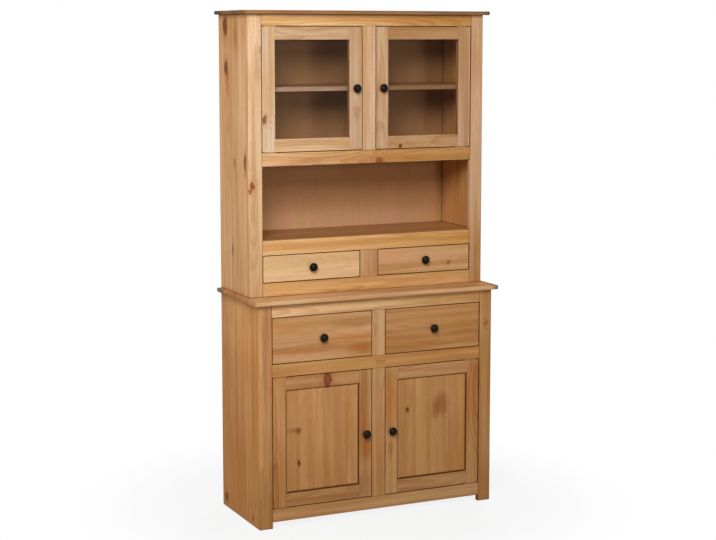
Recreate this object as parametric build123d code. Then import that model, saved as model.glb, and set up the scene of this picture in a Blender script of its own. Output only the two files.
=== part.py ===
from build123d import *
from math import asin, cos, sin
import os

# Trastero cabinet: a pine base unit with two drawers over two panelled doors, and a hutch
# standing on it with two small drawers, an open niche and two glazed doors.
# Millimetres. +X is to the right seen from the front, +Y runs from the front to the back,
# +Z is up. The origin is on the floor, under the middle of the whole cabinet, knobs included.

# ---- whole cabinet --------------------------------------------------------------------
BOARD_W = 1000.0            # width over the overhanging top boards
BOARD_D = 404.0             # depth of the base's top board
HEIGHT = 1890.0             # floor to the top of the hutch
SIDE_OVERHANG = 18.0        # top boards beyond the sides
FRONT_OVERHANG = 22.0       # top boards beyond the face frames
HUTCH_SETBACK = 85.0        # hutch face frame behind the base's face frame

# ---- boards ---------------------------------------------------------------------------
BASE_TOP_T = 16.0           # top board of the base
HUTCH_TOP_T = 14.0          # top board of the hutch
FRAME_T = 20.0              # face frame boards and side panels
DOOR_T = 19.0               # doors and drawer fronts
SHELF_T = 18.0
HUTCH_SHELF_T = 16.0
BACK_T = 6.0                # back panels
BACK_INSET = 4.0            # back panels in from the rear edges
STILE_W = 52.0              # corner stiles of both face frames
POST_W = 53.0               # centre stiles between doors and between the base's drawers
DIVIDER_W = 72.0            # wide centre stile between the hutch's drawers
GAP = 3.0                   # round every door and drawer front
EASE = 1.0                  # rounding of a planed board's edges
FRONT_EASE = 1.5            # rounding of the drawer fronts
CORNER_EASE = 3.5           # rounding of the cabinet's own front corners
TOP_EASE = 4.0              # rounding of the top boards' edges

# ---- heights of the face frames' openings, to the middle of their gaps -----------------
BASE_TOP = 832.0            # underside of the base's top board
RAIL_FOOT = 24.0            # bottom rail clear of the floor
BASE_DOOR_Z = (74.0, 563.5)
BASE_DRAWER_Z = (613.5, 784.0)
HUTCH_DRAWER_Z = (900.0, 1000.0)
NICHE_Z = (1055.0, 1327.0)
GLASS_DOOR_Z = (1377.0, 1833.0)
HUTCH_SHELF_TOP = 1612.0
BASE_SHELF_TOP = 318.0

# ---- doors ----------------------------------------------------------------------------
DOOR_STILE_W = 50.0
GLASS_DOOR_RAIL_W = 47.0
PANEL_DOOR_RAIL_W = (50.0, 48.0)    # bottom rail, top rail
GROOVE_Y = 8.0              # front of the panel groove, behind the door's face
GROOVE_T = 6.4
GROOVE_DEPTH = 8.0
TONGUE_ROOM = 1.0           # groove left empty beyond a tongue
PANEL_SET = 1.5             # panel's field behind the door's face
BEVEL_W = 9.0               # bevel round the panel's field
REBATE_DEPTH = 8.0          # glass rebate, in from the frame's inner edge
GLASS_T = 3.0
PANE_ROOM = 1.0             # rebate left empty round the pane
FIT = 0.2                   # room beside tongues and beads

# ---- drawers --------------------------------------------------------------------------
BOX_SIDE_T = 12.0
BOX_BOTTOM_T = 6.0
BOX_INSET = 2.0             # box sides in from the ends of the drawer front
BOX_REAR_ROOM = 20.0        # boxes clear of the back panels
BASE_BOX_SIDE_H = 140.0
HUTCH_BOX_SIDE_H = 70.0
RUNNER_W = 62.0
RUNNER_T = 18.0
GUIDE_H = 22.0              # strips that keep the boxes straight
RUNNING = 0.4               # drawer above its runners
SIDE_PLAY = 1.5             # drawer beside its guides

# ---- small parts ----------------------------------------------------------------------
KNOB_R = 16.0
KNOB_REACH = 26.0           # knob's crown in front of the face
BASE_DOOR_KNOB_Z = 318.0
GLASS_DOOR_KNOB_Z = 1605.0
PIVOT_IN = 16.0             # pivot's axis in from a door's outer edge
LEAF_L = 40.0               # pivot leaf, from its axis to its square end
LEAF_W = 12.0
LEAF_T = 1.2
PIN_R = 2.5
PIN_PLAY = 0.1
WASHER_R = 4.5
LEAF_PLAY = 0.3             # washer clear of the door's leaf
CLEAT = 16.0                # square strips under the shelves
STOP_T = 8.0                # strips that the doors close against
STOP_LAP = 8.0              # how far a stop reaches behind each door
SHELF_BACK = 36.0           # shelves' front edges behind the face frames
CATCH = (22.0, 10.0, 34.0)  # magnetic catch: width, depth, height
OVERCUT = 1.0               # cutting blocks run past the surfaces they cut

# ---- planes worked out from the above --------------------------------------------------
HALF_W = BOARD_W / 2 - SIDE_OVERHANG
REAR_Y = (BOARD_D - FRONT_OVERHANG + KNOB_REACH) / 2
FACE_Y = KNOB_REACH - REAR_Y                    # base face frame
HUTCH_Y = FACE_Y + HUTCH_SETBACK                # hutch face frame
BACK_Y = REAR_Y - BACK_INSET - BACK_T           # front of the back panels
BOX_BACK_Y = BACK_Y - BOX_REAR_ROOM             # rear of every drawer box
INNER_X = HALF_W - FRAME_T                      # inside of the side panels
OPENING_X = HALF_W - STILE_W                    # inside of the corner stiles
STOP_X = POST_W / 2 + GAP + STOP_LAP            # edges of the door stops
COUNTER_Z = BASE_TOP + BASE_TOP_T               # top of the base, where the hutch stands
HUTCH_TOP = HEIGHT - HUTCH_TOP_T                # underside of the hutch's top board
SIDES = {"left": -1, "right": 1}

os.makedirs("parts", exist_ok=True)


def save(name, *solids):
    """Writes one node: a single solid, or a group of like solids."""
    shape = solids[0] if len(solids) == 1 else Compound(children=list(solids))
    export_step(shape, f"parts/{name}.step")


def block(x, y, z):
    """A box between two limits on each axis, given in any order."""
    low = [min(v) for v in (x, y, z)]
    high = [max(v) for v in (x, y, z)]
    size = [b - a for a, b in zip(low, high)]
    middle = [(a + b) / 2 for a, b in zip(low, high)]
    return Pos(*middle) * Box(*size)


def board(x, y, z, ease=EASE):
    """A planed board: a block with every edge rounded."""
    raw = block(x, y, z)
    return fillet(raw.edges(), ease)


def opening(limits):
    """Heights of the frame's edges round an opening, from the middles of its gaps."""
    return limits[0] - GAP / 2, limits[1] + GAP / 2


def leaf_height(limits):
    """Bottom and top of the door or drawer front that fills an opening."""
    return limits[0] + GAP / 2, limits[1] - GAP / 2


base_door_open = opening(BASE_DOOR_Z)
base_drawer_open = opening(BASE_DRAWER_Z)
hutch_drawer_open = opening(HUTCH_DRAWER_Z)
glass_door_open = opening(GLASS_DOOR_Z)


# ---- side panels, corner stiles, rails and centre stiles -------------------------------
def side_panels(front, z):
    """The two glued-up panels of one unit, each behind its corner stile."""
    y = (front + FRAME_T, REAR_Y)
    return [board((s * INNER_X, s * HALF_W), y, z) for s in SIDES.values()]


def corner_stiles(front, z):
    """The uprights at one unit's front corners, rounded over on the outer front edge."""
    made = []
    for s in SIDES.values():
        raw = block((s * OPENING_X, s * HALF_W), (front, front + FRAME_T), z)
        uprights = raw.edges().filter_by(Axis.Z).sort_by(Axis.Y)
        corner = uprights[:2].sort_by(Axis.X)[-1 if s > 0 else 0]
        eased = fillet(corner, CORNER_EASE)
        foot = eased.faces().sort_by(Axis.Z)[0]
        made.append(fillet(foot.edges(), EASE))
    return made


def rail(front, z):
    """Board of a face frame between the corner stiles."""
    return board((-OPENING_X, OPENING_X), (front, front + FRAME_T), z)


def post(front, z, width):
    """Short upright of a face frame, between two rails."""
    return board((-width / 2, width / 2), (front, front + FRAME_T), z)


def top_board(front, z):
    """Overhanging board on top of a unit, rounded all round."""
    return board((-BOARD_W / 2, BOARD_W / 2), (front - FRONT_OVERHANG, REAR_Y), z, TOP_EASE)


def back_panel(z):
    """Thin panel let in between the side panels."""
    return block((-INNER_X, INNER_X), (BACK_Y, BACK_Y + BACK_T), z)


def shelf(front, top, thick=SHELF_T):
    """Board from side panel to side panel, from a front edge to the back panel."""
    return board((-INNER_X, INNER_X), (front, BACK_Y), (top - thick, top))


# ---- base unit -------------------------------------------------------------------------
save("base_sides", *side_panels(FACE_Y, (0, BASE_TOP)))
save("base_stiles", *corner_stiles(FACE_Y, (0, BASE_TOP)))
save("base_bottom_rail", rail(FACE_Y, (RAIL_FOOT, base_door_open[0])))
save("base_mid_rail", rail(FACE_Y, (base_door_open[1], base_drawer_open[0])))
save("base_top_rail", rail(FACE_Y, (base_drawer_open[1], BASE_TOP)))
save(
    "base_centre_stiles",
    post(FACE_Y, base_door_open, POST_W),
    post(FACE_Y, base_drawer_open, POST_W),
)
save("base_top_board", top_board(FACE_Y, (BASE_TOP, COUNTER_Z)))
save("base_back_panel", back_panel((RAIL_FOOT, BASE_TOP)))
save(
    "base_shelves",
    shelf(FACE_Y + FRAME_T, base_door_open[0]),
    shelf(FACE_Y + SHELF_BACK, BASE_SHELF_TOP),
)

# ---- hutch -----------------------------------------------------------------------------
hutch_z = (COUNTER_Z, HUTCH_TOP)
save("hutch_sides", *side_panels(HUTCH_Y, hutch_z))
save("hutch_stiles", *corner_stiles(HUTCH_Y, hutch_z))
save("hutch_bottom_rail", rail(HUTCH_Y, (COUNTER_Z, hutch_drawer_open[0])))
save("hutch_drawer_rail", rail(HUTCH_Y, (hutch_drawer_open[1], NICHE_Z[0])))
save("hutch_niche_rail", rail(HUTCH_Y, (NICHE_Z[1], glass_door_open[0])))
save("hutch_top_rail", rail(HUTCH_Y, (glass_door_open[1], HUTCH_TOP)))
save(
    "hutch_centre_stiles",
    post(HUTCH_Y, glass_door_open, POST_W),
    post(HUTCH_Y, hutch_drawer_open, DIVIDER_W),
)
save("hutch_top_board", top_board(HUTCH_Y, (HUTCH_TOP, HEIGHT)))
save("hutch_back_panel", back_panel(hutch_z))
save("hutch_niche_floor", shelf(HUTCH_Y + FRAME_T, NICHE_Z[0]))
save("hutch_cupboard_floor", shelf(HUTCH_Y + FRAME_T, glass_door_open[0]))
save("hutch_shelf", shelf(HUTCH_Y + SHELF_BACK, HUTCH_SHELF_TOP, HUTCH_SHELF_T))


# ---- shelf cleats, door stops and catches ----------------------------------------------
def cleats(front, underside):
    """Square strips on the side panels, under the two ends of a shelf."""
    y = (front + SHELF_BACK + CLEAT, BACK_Y)
    z = (underside - CLEAT, underside)
    return [board((s * INNER_X, s * (INNER_X - CLEAT)), y, z) for s in SIDES.values()]


def door_stop(front, limits):
    """Strip glued behind a centre stile, which both doors of a pair close against."""
    y = (front + FRAME_T, front + FRAME_T + STOP_T)
    return board((-STOP_X, STOP_X), y, (limits[0] + GAP, limits[1] - GAP))


def catches(front, top):
    """Magnetic catches screwed to the two edges of a door stop, close behind the doors."""
    width, depth, height = CATCH
    y = (front + FRAME_T, front + FRAME_T + depth)
    z = (top - 1.5 * height, top - 0.5 * height)
    return [board((s * STOP_X, s * (STOP_X + width)), y, z) for s in SIDES.values()]


save(
    "shelf_cleats",
    *cleats(FACE_Y, BASE_SHELF_TOP - SHELF_T),
    *cleats(HUTCH_Y, HUTCH_SHELF_TOP - HUTCH_SHELF_T),
)
save("door_stops", door_stop(FACE_Y, base_door_open), door_stop(HUTCH_Y, glass_door_open))
save("door_catches", *catches(FACE_Y, BASE_DOOR_Z[1]), *catches(HUTCH_Y, GLASS_DOOR_Z[1]))


# ---- knobs ----------------------------------------------------------------------------
def knob(x, front, z):
    """Turned mushroom knob: a small foot, a waist, and a head domed as part of a ball."""
    foot_r = KNOB_R * 0.56
    foot_y = KNOB_REACH * 0.08
    waist_r = KNOB_R * 0.38
    waist_y = KNOB_REACH * 0.30
    rim_y = KNOB_REACH * 0.54
    dome_y = KNOB_REACH * 0.62
    ball_y = (KNOB_REACH**2 - KNOB_R**2 - dome_y**2) / (2 * (KNOB_REACH - dome_y))
    ball_r = KNOB_REACH - ball_y
    half_angle = asin(KNOB_R / ball_r) / 2
    crown = (ball_r * sin(half_angle), ball_y + ball_r * cos(half_angle))
    outline = Curve() + [
        Line((0, 0), (foot_r, 0)),
        Line((foot_r, 0), (foot_r, foot_y)),
        ThreePointArc((foot_r, foot_y), (waist_r * 1.12, foot_y * 2), (waist_r, waist_y)),
        ThreePointArc((waist_r, waist_y), (KNOB_R * 0.80, KNOB_REACH * 0.42), (KNOB_R, rim_y)),
        Line((KNOB_R, rim_y), (KNOB_R, dome_y)),
        ThreePointArc((KNOB_R, dome_y), crown, (0, KNOB_REACH)),
        Line((0, KNOB_REACH), (0, 0)),
    ]
    turned = revolve(make_face(outline), Axis.Y)
    return Pos(x, front, z) * Rot(0, 0, 180) * turned


# ---- pivots: two flat leaves in the gap above and below each door, joined by a pin -------
def disc(x, y, z, radius):
    """Upright cylinder between two heights, given in either order."""
    low, high = min(z), max(z)
    return Pos(x, y, (low + high) / 2) * Cylinder(radius, high - low)


def pivot(side, x, y, frame_z, door_z):
    """One pivot between a rail's edge and a door's edge. side is the door's side.
    Returns the rail's leaf with its washer and pin, and the door's leaf."""
    way = 1 if door_z > frame_z else -1
    width = (y - LEAF_W / 2, y + LEAF_W / 2)
    length = (x, x - side * LEAF_L)
    rail_leaf_z = (frame_z, frame_z + way * LEAF_T)
    door_leaf_z = (door_z, door_z - way * LEAF_T)
    washer_top = door_leaf_z[1] - way * LEAF_PLAY
    pin_top = door_z - way * PIN_PLAY

    rail_leaf = block(length, width, rail_leaf_z) + disc(x, y, rail_leaf_z, LEAF_W / 2)
    rail_leaf += disc(x, y, (frame_z, washer_top), WASHER_R)
    rail_leaf += disc(x, y, (frame_z, pin_top), PIN_R)

    door_leaf = block(length, width, door_leaf_z) + disc(x, y, door_leaf_z, LEAF_W / 2)
    door_leaf -= disc(x, y, (frame_z, door_z + way * OVERCUT), PIN_R + PIN_PLAY)
    return rail_leaf.solid(), door_leaf.solid()


# ---- doors ----------------------------------------------------------------------------
def leaf_width(side, centre_w):
    """Left and right edges of the door or drawer front on one side of a centre stile."""
    inner = centre_w / 2 + GAP
    outer = OPENING_X - GAP
    return sorted((side * inner, side * outer))


def panel_door(name, side, front, limits):
    """Frame of two grooved stiles and two tongued rails round a raised panel."""
    x0, x1 = leaf_width(side, POST_W)
    z0, z1 = leaf_height(limits)
    thick = (front, front + DOOR_T)
    groove_y = (front + GROOVE_Y, front + GROOVE_Y + GROOVE_T)
    tongue_y = (groove_y[0] + FIT, groove_y[1] - FIT)
    in_x = (x0 + DOOR_STILE_W, x1 - DOOR_STILE_W)
    in_z = (z0 + PANEL_DOOR_RAIL_W[0], z1 - PANEL_DOOR_RAIL_W[1])
    groove_x = (in_x[0] - GROOVE_DEPTH, in_x[1] + GROOVE_DEPTH)
    groove_z = (in_z[0] - GROOVE_DEPTH, in_z[1] + GROOVE_DEPTH)
    across = (in_x[0] - OVERCUT, in_x[1] + OVERCUT)
    upright = (z0 - OVERCUT, z1 + OVERCUT)
    tongue = GROOVE_DEPTH - TONGUE_ROOM

    left = board((x0, in_x[0]), thick, (z0, z1))
    left -= block((groove_x[0], across[1]), groove_y, upright)
    right = board((in_x[1], x1), thick, (z0, z1))
    right -= block((across[0], groove_x[1]), groove_y, upright)
    save(f"{name}_stiles", left.solid(), right.solid())

    tongues_x = (in_x[0] - tongue, in_x[1] + tongue)
    bottom = board(in_x, thick, (z0, in_z[0]))
    bottom += block(tongues_x, tongue_y, (z0 + EASE, groove_z[0]))
    bottom -= block(across, groove_y, (groove_z[0], in_z[0] + OVERCUT))
    top = board(in_x, thick, (in_z[1], z1))
    top += block(tongues_x, tongue_y, (groove_z[1], z1 - EASE))
    top -= block(across, groove_y, (in_z[1] - OVERCUT, groove_z[1]))
    save(f"{name}_rails", bottom.solid(), top.solid())

    edge = block(tongues_x, tongue_y, (in_z[0] - tongue, in_z[1] + tongue))
    field_y = (front + PANEL_SET, tongue_y[0])
    field = block(in_x, field_y, in_z)
    field_face = field.faces().sort_by(Axis.Y)[0]
    bevel_depth = field_y[1] - field_y[0] - FIT
    field = chamfer(field_face.edges(), BEVEL_W, bevel_depth, reference=field_face)
    save(f"{name}_panel", (edge + field).solid())


def glass_door(name, side, front, limits):
    """Frame rebated at the back for a pane, which four beads hold in."""
    x0, x1 = leaf_width(side, POST_W)
    z0, z1 = leaf_height(limits)
    thick = (front, front + DOOR_T)
    rebate_y = (front + GROOVE_Y, front + DOOR_T + OVERCUT)
    in_x = (x0 + DOOR_STILE_W, x1 - DOOR_STILE_W)
    in_z = (z0 + GLASS_DOOR_RAIL_W, z1 - GLASS_DOOR_RAIL_W)
    seat_x = (in_x[0] - REBATE_DEPTH, in_x[1] + REBATE_DEPTH)
    seat_z = (in_z[0] - REBATE_DEPTH, in_z[1] + REBATE_DEPTH)
    across = (seat_x[0] - OVERCUT, seat_x[1] + OVERCUT)
    upright = (z0 - OVERCUT, z1 + OVERCUT)

    left = board((x0, in_x[0]), thick, (z0, z1))
    left -= block((seat_x[0], across[1]), rebate_y, upright)
    right = board((in_x[1], x1), thick, (z0, z1))
    right -= block((across[0], seat_x[1]), rebate_y, upright)
    save(f"{name}_stiles", left.solid(), right.solid())

    lap_x = (seat_x[0] + FIT, seat_x[1] - FIT)
    lap_y = (front + GROOVE_Y + FIT, front + DOOR_T)
    bottom = board(in_x, thick, (z0, in_z[0]))
    bottom += block(lap_x, lap_y, (z0 + EASE, seat_z[0]))
    bottom -= block(across, rebate_y, (seat_z[0], in_z[0] + OVERCUT))
    top = board(in_x, thick, (in_z[1], z1))
    top += block(lap_x, lap_y, (seat_z[1], z1 - EASE))
    top -= block(across, rebate_y, (in_z[1] - OVERCUT, seat_z[1]))
    save(f"{name}_rails", bottom.solid(), top.solid())

    pane_x = (seat_x[0] + PANE_ROOM, seat_x[1] - PANE_ROOM)
    pane_y = (front + GROOVE_Y, front + GROOVE_Y + GLASS_T)
    pane_z = (seat_z[0] + PANE_ROOM, seat_z[1] - PANE_ROOM)
    save(f"{name}_pane", block(pane_x, pane_y, pane_z))

    bead_y = (pane_y[1], front + DOOR_T)
    bead_z = (seat_z[0] + FIT, seat_z[1] - FIT)
    save(
        f"{name}_beads",
        block((lap_x[0], in_x[0]), bead_y, bead_z),
        block((in_x[1], lap_x[1]), bead_y, bead_z),
        block(in_x, bead_y, (bead_z[0], in_z[0])),
        block(in_x, bead_y, (in_z[1], bead_z[1])),
    )


rail_leaves = []


def hang(name, side, front, limits, knob_z):
    """Knob on a door's inner stile, and a pivot at each end of its outer stile."""
    inner, outer = sorted(leaf_width(side, POST_W), key=abs)
    save(f"{name}_knob", knob(inner + side * DOOR_STILE_W / 2, front, knob_z))
    axis_x = outer - side * PIVOT_IN
    axis_y = front + DOOR_T / 2
    door_leaves = []
    for frame_z, door_z in zip(opening(limits), leaf_height(limits)):
        rail_leaf, door_leaf = pivot(side, axis_x, axis_y, frame_z, door_z)
        rail_leaves.append(rail_leaf)
        door_leaves.append(door_leaf)
    save(f"{name}_pivot_leaves", *door_leaves)


for word, side in SIDES.items():
    panel_door(f"base_{word}_door", side, FACE_Y, BASE_DOOR_Z)
    hang(f"base_{word}_door", side, FACE_Y, BASE_DOOR_Z, BASE_DOOR_KNOB_Z)
    glass_door(f"glass_{word}_door", side, HUTCH_Y, GLASS_DOOR_Z)
    hang(f"glass_{word}_door", side, HUTCH_Y, GLASS_DOOR_Z, GLASS_DOOR_KNOB_Z)
save("frame_pivot_leaves", *rail_leaves)


# ---- drawers and their runners ---------------------------------------------------------
def drawer(name, side, front, limits, centre_w, side_h):
    """Slab front, a box of two sides and a back on a thin bottom, and a knob."""
    x0, x1 = leaf_width(side, centre_w)
    z0, z1 = leaf_height(limits)
    save(f"{name}_front", board((x0, x1), (front, front + DOOR_T), (z0, z1), FRONT_EASE))
    left, right = x0 + BOX_INSET, x1 - BOX_INSET
    y = (front + DOOR_T, BOX_BACK_Y)
    wall_z = (z0 + BOX_BOTTOM_T, z0 + BOX_BOTTOM_T + side_h)
    back_x = (left + BOX_SIDE_T, right - BOX_SIDE_T)
    save(
        f"{name}_box",
        block((left, back_x[0]), y, wall_z),
        block((back_x[1], right), y, wall_z),
        block(back_x, (BOX_BACK_Y - BOX_SIDE_T, BOX_BACK_Y), wall_z),
        block((left, right), y, (z0, z0 + BOX_BOTTOM_T)),
    )
    save(f"{name}_knob", knob((x0 + x1) / 2, front, (z0 + z1) / 2))


def runners(front, centre_w, limits):
    """Runners under the sides of a pair of drawers, with guide strips standing on them."""
    top = leaf_height(limits)[0] - RUNNING
    y = (front + FRAME_T, BACK_Y)
    runner_z = (top - RUNNER_T, top)
    guide_z = (top, top + GUIDE_H)
    middle_x = centre_w / 2 + GAP + BOX_INSET - SIDE_PLAY
    side_x = OPENING_X - GAP - BOX_INSET + SIDE_PLAY
    made = [block((-RUNNER_W, RUNNER_W), y, runner_z), block((-middle_x, middle_x), y, guide_z)]
    for s in SIDES.values():
        made.append(block((s * INNER_X, s * (INNER_X - RUNNER_W)), y, runner_z))
        made.append(block((s * INNER_X, s * side_x), y, guide_z))
    return made


for word, side in SIDES.items():
    drawer(f"base_{word}_drawer", side, FACE_Y, BASE_DRAWER_Z, POST_W, BASE_BOX_SIDE_H)
    drawer(f"hutch_{word}_drawer", side, HUTCH_Y, HUTCH_DRAWER_Z, DIVIDER_W, HUTCH_BOX_SIDE_H)
save(
    "drawer_runners",
    *runners(FACE_Y, POST_W, BASE_DRAWER_Z),
    *runners(HUTCH_Y, DIVIDER_W, HUTCH_DRAWER_Z),
)
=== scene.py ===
import bpy, bmesh, math
from mathutils import Matrix, Vector


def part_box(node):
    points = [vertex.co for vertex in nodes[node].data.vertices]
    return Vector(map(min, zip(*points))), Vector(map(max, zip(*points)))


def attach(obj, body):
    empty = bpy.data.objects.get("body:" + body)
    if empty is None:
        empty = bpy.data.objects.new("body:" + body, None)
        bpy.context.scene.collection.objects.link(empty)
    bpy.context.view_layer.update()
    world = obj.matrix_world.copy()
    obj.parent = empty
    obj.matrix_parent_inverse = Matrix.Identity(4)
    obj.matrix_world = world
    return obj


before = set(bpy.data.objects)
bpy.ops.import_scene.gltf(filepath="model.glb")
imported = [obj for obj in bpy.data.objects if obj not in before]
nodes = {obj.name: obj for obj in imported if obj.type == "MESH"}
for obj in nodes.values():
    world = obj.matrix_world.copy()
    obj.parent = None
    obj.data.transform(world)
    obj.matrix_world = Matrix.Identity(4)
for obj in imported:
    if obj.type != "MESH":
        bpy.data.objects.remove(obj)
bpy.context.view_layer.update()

# ---- Base: side panels -----------------------------------------------------------------------
# Two panels, each glued up edge to edge from upright pine staves and planed to 20 mm.
# They are waxed a honey colour. Every pine piece of the cabinet is cut from such logs, so
# the wood's rings, knots, worn edges and wax, and the painted shade in its corners, are laid down
# here.


class Finish:
    """Lays out the nodes of one finish."""

    def __init__(self, tree):
        self.tree = tree

    def give(self, socket, value):
        """Links another node's output to a socket, or sets a plain value on it."""
        if isinstance(value, bpy.types.NodeSocket):
            self.tree.links.new(value, socket)
        else:
            socket.default_value = value

    def add(self, kind, values=None, out=0, **settings):
        made = self.tree.nodes.new("ShaderNode" + kind)
        for key, value in settings.items():
            setattr(made, key, value)
        for key, value in (values or {}).items():
            self.give(made.inputs[key], value)
        return made.outputs[out]

    def use(self, group, values):
        """Lays down a shared group of nodes. Its outputs are known by name."""
        made = self.tree.nodes.new("ShaderNodeGroup")
        made.node_tree = group.tree
        for label, value in values.items():
            self.give(made.inputs[label], value)
        return made.outputs

    def sum(self, work, *values):
        return self.add("Math", dict(enumerate(values)), operation=work)

    def vector(self, work, *values, out=0):
        return self.add("VectorMath", dict(enumerate(values)), out, operation=work)

    def parts(self, vector):
        made = self.add("SeparateXYZ", {0: vector}).node
        return made.outputs[0], made.outputs[1], made.outputs[2]

    def reach(self, one, two):
        """The straight way to a point that lies one across and two up."""
        return self.vector("LENGTH", self.add("CombineXYZ", {0: one, 1: two}), out="Value")

    def noise(self, at, stretch, detail=2.0, out=0):
        return self.add("TexNoise", {"Vector": self.vector("MULTIPLY", at, stretch),
                                     "Scale": 1.0, "Detail": detail}, out)

    def ease(self, value, low, high, to_low=0.0, to_high=1.0, curve="SMOOTHSTEP"):
        return self.add("MapRange", dict(enumerate((value, low, high, to_low, to_high))),
                        interpolation_type=curve)

    def mix(self, share, first, second, way="MIX"):
        return self.add("Mix", {0: share, 6: first, 7: second}, 2, data_type="RGBA",
                        blend_type=way)

    def worn_edge(self, radius, whole, gone):
        """How much of a sharp edge is rubbed away, from where faces turn within radius."""
        soft = self.add("Bevel", {"Radius": radius}, samples=4)
        sharp = self.add("NewGeometry", out="True Normal")
        return self.ease(self.vector("DOT_PRODUCT", soft, sharp, out="Value"), whole, gone)


def shared(name, given, made):
    """A group of nodes that several finishes share, with its named inputs and outputs."""
    tree = bpy.data.node_groups.new(name, "ShaderNodeTree")
    for way, sockets in (("INPUT", given), ("OUTPUT", made)):
        for label, kind in sockets:
            tree.interface.new_socket(label, in_out=way, socket_type="NodeSocket" + kind)
    start, end = tree.nodes.new("NodeGroupInput"), tree.nodes.new("NodeGroupOutput")
    return Finish(tree), start.outputs, end.inputs


def new_finish(name):
    """A new material, the layout of its nodes, and the sockets of its shader."""
    material = bpy.data.materials.new(name)
    material.use_nodes = True
    shader = next(n for n in material.node_tree.nodes if n.type == "BSDF_PRINCIPLED")
    return material, Finish(material.node_tree), shader.inputs


def coat(piece, material):
    """Gives a CAD piece one finish all over."""
    nodes[piece].data.materials.clear()
    nodes[piece].data.materials.append(material)


def colour(red, green, blue):
    """A paint shop's 0-255 colour as the light that it gives back."""
    return tuple((c / 255 / 12.92) if c <= 10 else ((c / 255 + 0.055) / 1.055) ** 2.4
                 for c in (red, green, blue)) + (1.0,)


# The grain of one board. At is across, into and along the board in metres, Chance is the
# board's own three numbers, Middle is the middle of its width, and Push is how far a knot
# parts the rings. Figure and Streak are how strongly rings and streaks show.
RING = 0.0045
CENTRED = (0.5, 0.5, 0.5)
grain, given, made = shared(
    "pine grain",
    (("At", "Vector"), ("Chance", "Vector"), ("Middle", "Float"), ("Push", "Float"),
     ("Figure", "Float"), ("Streak", "Float"), ("Tone", "Color")),
    (("Tone", "Color"), ("Rough", "Float"), ("Height", "Float")))

# the log's slow bends and short waves, both much longer than they are wide
place = grain.vector("MULTIPLY_ADD", given["Chance"], (3.0, 3.0, 9.0), given["At"])
bend = grain.vector("SUBTRACT", grain.noise(place, (6.0, 6.0, 1.15), 1.0, 1), CENTRED)
wave = grain.vector("SUBTRACT", grain.noise(place, (34.0, 34.0, 5.0), 1.0, 1), CENTRED)
bent = grain.vector("MULTIPLY_ADD", bend, (0.075, 0.075, 0.0), given["At"])
bent = grain.vector("MULTIPLY_ADD", wave, (0.007, 0.007, 0.0), bent)
across, depth, _ = grain.parts(bent)

# rings round the pith, which lies up to 50 mm to one side of the board's middle, and 28 to
# 98 mm in front of it
side_chance, depth_chance, _ = grain.parts(given["Chance"])
pith_across = grain.sum("ADD", given["Middle"],
                        grain.sum("MULTIPLY_ADD", side_chance, 0.10, -0.05))
pith_depth = grain.sum("MULTIPLY_ADD", depth_chance, 0.07, 0.028)
distance = grain.reach(grain.sum("SUBTRACT", across, pith_across),
                       grain.sum("ADD", depth, pith_depth))
distance = grain.sum("ADD", distance, given["Push"])
turn = grain.sum("FRACT", grain.sum("DIVIDE", distance, RING))
late = grain.sum("MULTIPLY", grain.ease(turn, 0.30, 0.90), grain.ease(turn, 1.0, 0.93))
years = grain.add("TexNoise", {"W": grain.sum("MULTIPLY", distance, 70.0), "Scale": 1.0,
                               "Detail": 1.0}, noise_dimensions="1D")
years = grain.ease(years, 0.35, 0.65, 0.35, 1.0)

# what lies along the grain, from the finest to the widest
duct = grain.ease(grain.noise(place, (1500.0, 1500.0, 55.0), 0.0), 0.70, 0.80)
fibre = grain.noise(place, (760.0, 760.0, 13.0))
streak = grain.noise(place, (36.0, 36.0, 1.5))
drift = grain.noise(place, (21.0, 21.0, 1.7))
stain = grain.noise(place, (9.0, 9.0, 2.4))

# what each of them does to the wood's tone, its gloss and its height
tint = grain.mix(grain.ease(streak, 0.36, 0.66), (1.10, 1.14, 1.20, 1.0),
                 (0.88, 0.81, 0.70, 1.0))
tone = grain.mix(given["Streak"], given["Tone"], tint, "MULTIPLY")
tint = grain.mix(grain.ease(drift, 0.35, 0.65), (1.02, 0.99, 0.99, 1.0),
                 (0.985, 1.01, 0.90, 1.0))
tone = grain.mix(1.0, tone, tint, "MULTIPLY")
stained = grain.sum("MULTIPLY", grain.ease(stain, 0.42, 0.70), given["Streak"])
tone = grain.mix(stained, tone, (0.95, 0.86, 0.72, 1.0), "MULTIPLY")
ringed = grain.sum("MULTIPLY", grain.sum("MULTIPLY", late, years), given["Figure"])
tone = grain.mix(ringed, tone, (0.70, 0.52, 0.37, 1.0), "MULTIPLY")
tone = grain.mix(grain.ease(fibre, 0.40, 0.68, 0.0, 0.5), tone, (0.82, 0.74, 0.64, 1.0),
                 "MULTIPLY")
tone = grain.mix(grain.sum("MULTIPLY", duct, 0.45), tone, (0.50, 0.36, 0.25, 1.0), "MULTIPLY")
grain.give(made["Tone"], tone)
grain.give(made["Rough"], grain.sum("ADD", grain.ease(fibre, 0.3, 0.7, 0.36, 0.50, "LINEAR"),
                                    grain.ease(stain, 0.3, 0.7, -0.04, 0.05, "LINEAR")))
height = grain.sum("ADD", grain.sum("MULTIPLY", late, 0.5), grain.sum("MULTIPLY", fibre, 0.9))
grain.give(made["Height"], grain.sum("SUBTRACT", height, grain.sum("MULTIPLY", duct, 0.6)))

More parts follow.
